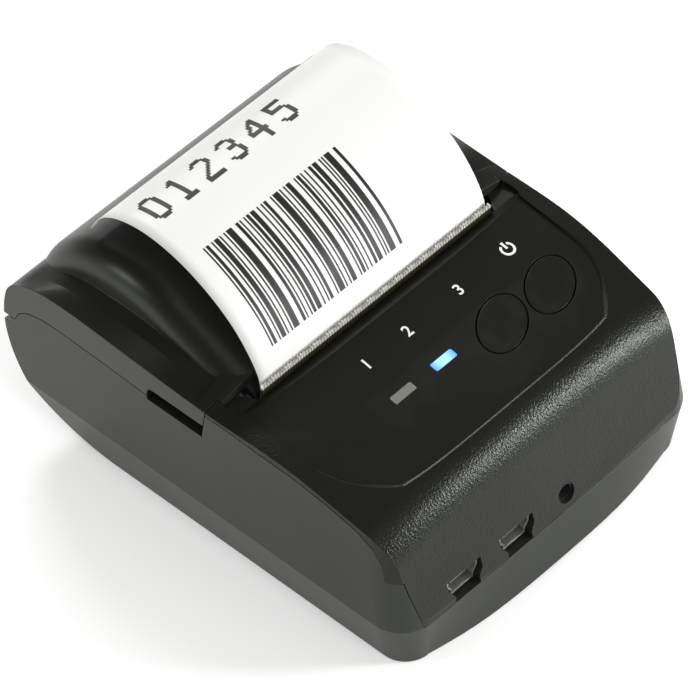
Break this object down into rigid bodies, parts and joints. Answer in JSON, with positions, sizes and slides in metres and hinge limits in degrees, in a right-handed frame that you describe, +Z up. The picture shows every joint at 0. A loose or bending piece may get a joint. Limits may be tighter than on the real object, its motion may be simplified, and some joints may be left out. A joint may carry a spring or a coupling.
{
  "type": "portable receipt printer",
  "caption": "Pocket thermal receipt printer: rounded black case with a hinged paper cover, a sunk control deck and a curl of paper rising from the tear edge.",
  "frame": {"origin": "on the floor under the middle of the case", "axes": "+X to the right seen from the front, +Y from the front to the hinge at the rear, +Z up"},
  "size_m": [0.0776, 0.0972, 0.0558],
  "materials": {
    "case_black": "moulded black plastic, smooth satin sides",
    "top_black": "moulded black plastic, satin deck with fine leather grain round it",
    "cover_black": "moulded black plastic, satin with fine grain",
    "steel": "bright steel",
    "frame_grey": "dark grey glass-filled plastic",
    "paper_white": "smooth coated thermal paper",
    "card": "wound card tube",
    "rubber_black": "ground silicone rubber",
    "gear_white": "natural acetal",
    "bushing_black": "acetal",
    "board_green": "coated circuit board",
    "shield": "tinned shielding can",
    "ceramic": "glazed alumina",
    "aluminium": "milled aluminium",
    "brass": "turned brass",
    "motor_steel": "plated motor can",
    "battery_sleeve": "shrink sleeve",
    "switch_black": "tactile switch body",
    "key_black": "satin black key",
    "window_grey": "unlit light pipe, beige grey",
    "window_blue": "lit light pipe, blue white",
    "lamp_white": "lamp chip body",
    "socket_steel": "tinned socket shell",
    "jack_black": "socket body"
  },
  "bodies": {
    "housing": {"lower_case": "case_black", "top_shell": "top_black", "tear_bar": "steel", "chassis": "frame_grey", "battery_pack": "battery_sleeve", "battery_contacts": "brass", "main_board": "board_green", "radio_module": "shield", "com_socket": "socket_steel", "usb_socket": "socket_steel", "dc_jack": "jack_black", "key_board": "board_green", "feed_switch": "switch_black", "power_switch": "switch_black", "mode_window": "window_grey", "power_window": "window_blue", "mode_lamp": "lamp_white", "power_lamp": "lamp_white", "head_pivot_pin": "steel", "head_springs": "steel", "feed_motor": "motor_steel", "idler_stud": "steel", "hinge_pin": "steel", "paper_sensor": "switch_black", "case_screws": "steel", "chassis_screws": "steel", "board_screws": "steel"},
    "paper_cover": {"cover_shell": "cover_black", "platen_bushings": "bushing_black", "paper_strip": "paper_white"},
    "platen": {"platen_roller": "rubber_black", "platen_shaft": "steel", "platen_gear": "gear_white"},
    "idler": {"idler_gear": "gear_white"},
    "motor_rotor": {"motor_pinion": "brass"},
    "roll": {"paper_roll": "paper_white", "paper_core": "card"},
    "head": {"print_head": "ceramic", "head_heatsink": "aluminium"},
    "feed_key": {"feed_button": "key_black", "feed_plunger": "jack_black"},
    "power_key": {"power_button": "key_black", "power_plunger": "jack_black"},
    "door": {"battery_door": "case_black"}
  },
  "joints": [
    {"name": "cover_hinge", "type": "hinge", "parent": "housing", "child": "paper_cover", "pos_m": [0, 0.04655, 0.0224], "axis": [-1, 0, 0], "range_deg": [0, 85], "deforming": ["paper_strip"]},
    {"name": "roll_spin", "type": "hinge", "parent": "housing", "child": "roll", "pos_m": [0, 0.0247, 0.024], "axis": [1, 0, 0], "continuous": true},
    {"name": "platen_spin", "type": "hinge", "parent": "paper_cover", "child": "platen", "pos_m": [0, 0.0009, 0.0293], "axis": [1, 0, 0], "continuous": true},
    {"name": "idler_spin", "type": "hinge", "parent": "housing", "child": "idler", "pos_m": [0, -0.0034, 0.01858], "axis": [1, 0, 0], "continuous": true},
    {"name": "motor_spin", "type": "hinge", "parent": "housing", "child": "motor_rotor", "pos_m": [0, -0.0127, 0.0137], "axis": [1, 0, 0], "continuous": true},
    {"name": "head_pivot", "type": "hinge", "parent": "housing", "child": "head", "pos_m": [0, -0.0067, 0.021], "axis": [1, 0, 0], "range_deg": [0, 1.4], "stiffness_Nm_per_rad": 1, "springref_deg": -2.86},
    {"name": "feed_press", "type": "slide", "parent": "housing", "child": "feed_key", "axis": [0, 0.1904, -0.9817], "range_m": [0, 0.0005], "stiffness_N_per_m": 1600, "springref_m": -0.0002},
    {"name": "power_press", "type": "slide", "parent": "housing", "child": "power_key", "axis": [0, 0.1904, -0.9817], "range_m": [0, 0.0005], "stiffness_N_per_m": 1600, "springref_m": -0.0002},
    {"name": "door_slide", "type": "slide", "parent": "housing", "child": "door", "axis": [0, 1, 0], "range_m": [0, 0.0065]}
  ],
  "couplings": [
    {"joint": "platen_spin", "follows": "roll_spin", "ratio": 3.8},
    {"joint": "idler_spin", "follows": "roll_spin", "ratio": -2.0267},
    {"joint": "motor_spin", "follows": "roll_spin", "ratio": 5.0667}
  ]
}
